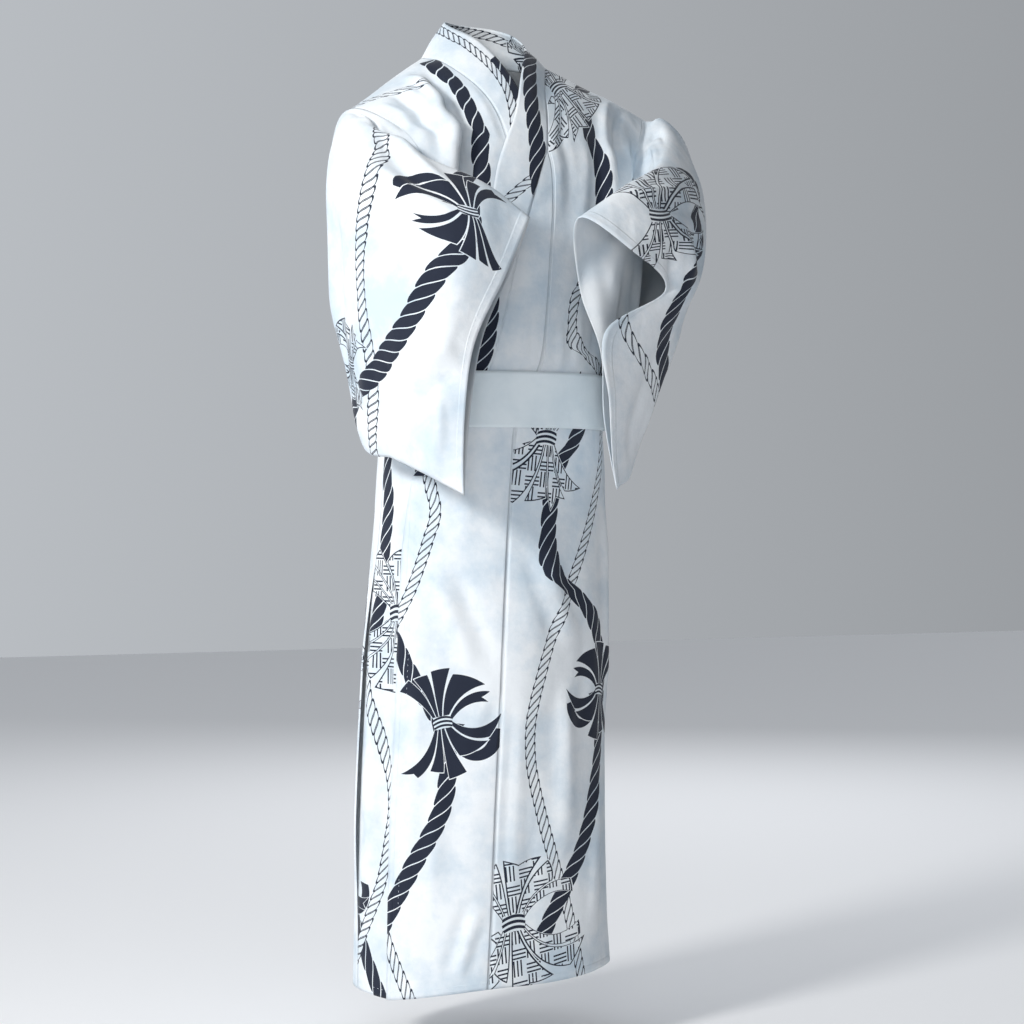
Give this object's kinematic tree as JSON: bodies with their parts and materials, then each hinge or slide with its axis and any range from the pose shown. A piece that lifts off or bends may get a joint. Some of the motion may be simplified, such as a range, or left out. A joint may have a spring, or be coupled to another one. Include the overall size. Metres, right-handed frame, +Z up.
{
  "type": "yukata robe",
  "caption": "Ankle-length cotton yukata worn closed left over right, arms crossed in wide open-cuffed sleeves, tied with a flat plain belt.",
  "frame": {"origin": "on the shoulder line, midway between the shoulders, where the wearer's shoulders carry the garment", "axes": "+Z up along the standing wearer; the wearer faces -Y and their left side is +X"},
  "size_m": [0.5646, 0.4228, 1.3847],
  "materials": {
    "cotton": "plain-woven cotton, washed",
    "belt": "firm flat weave, pale blue"
  },
  "bodies": {
    "root": {"body_right": "cotton", "body_left": "cotton", "okumi_right": "cotton", "okumi_left": "cotton", "collar": "cotton", "sleeve_right": "cotton", "sleeve_left": "cotton", "obi": "belt", "obi_knot": "belt", "obi_end_up": "belt", "obi_end_down": "belt"}
  },
  "joints": []
}
